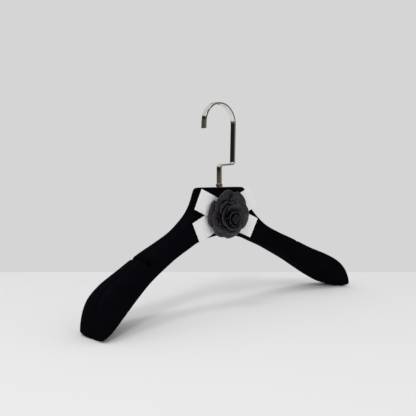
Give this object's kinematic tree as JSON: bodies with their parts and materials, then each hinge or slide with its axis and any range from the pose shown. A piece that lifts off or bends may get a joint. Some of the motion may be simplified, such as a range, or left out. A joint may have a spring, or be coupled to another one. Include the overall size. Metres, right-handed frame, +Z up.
{
  "type": "clothes hanger",
  "caption": "Sculpted flocked display hanger with a flat-bar swivel hook, strap notches, a crossed ribbon bow and a leather rosette.",
  "frame": {"origin": "where the inside of the hook's crown rests on the rail, on the hook's turning axis", "axes": "+Z up along the hook's turning axis, +X along the shoulders, -Y towards the front with the bow and rosette"},
  "size_m": [0.409, 0.0635, 0.2423],
  "materials": {
    "flocked_shell": "black flock on moulded plastic",
    "hook_metal": "polished dark nickel",
    "bush_brass": "turned",
    "washer_nylon": "moulded",
    "nut_steel": "zinc plated",
    "ribbon": "white woven ribbon",
    "glue": "hot-melt glue",
    "felt": "black felt",
    "rosette_leather": "black grained leather"
  },
  "bodies": {
    "hook_assembly": {"hook": "hook_metal", "shank_nut": "nut_steel"},
    "shoulders": {"front_shell": "flocked_shell", "back_shell": "flocked_shell", "hook_collar": "hook_metal", "swivel_bush": "bush_brass", "thrust_washer": "washer_nylon", "ribbon_glue_pad": "glue", "ribbon_lower": "ribbon", "ribbon_upper": "ribbon", "rosette_glue_pad": "glue", "felt_disc": "felt", "outer_petal_1": "rosette_leather", "outer_petal_2": "rosette_leather", "outer_petal_3": "rosette_leather", "outer_petal_4": "rosette_leather", "outer_petal_5": "rosette_leather", "outer_petal_6": "rosette_leather", "middle_petal_1": "rosette_leather", "middle_petal_2": "rosette_leather", "middle_petal_3": "rosette_leather", "middle_petal_4": "rosette_leather", "middle_petal_5": "rosette_leather", "inner_petal_1": "rosette_leather", "inner_petal_2": "rosette_leather", "inner_petal_3": "rosette_leather", "inner_petal_4": "rosette_leather", "bud_core": "rosette_leather", "bud_wrap_1": "rosette_leather", "bud_wrap_2": "rosette_leather"}
  },
  "joints": [
    {"name": "hook_swivel", "type": "hinge", "parent": "hook_assembly", "child": "shoulders", "pos_m": [0, 0, -0.0995], "axis": [0, 0, 1], "continuous": true}
  ]
}
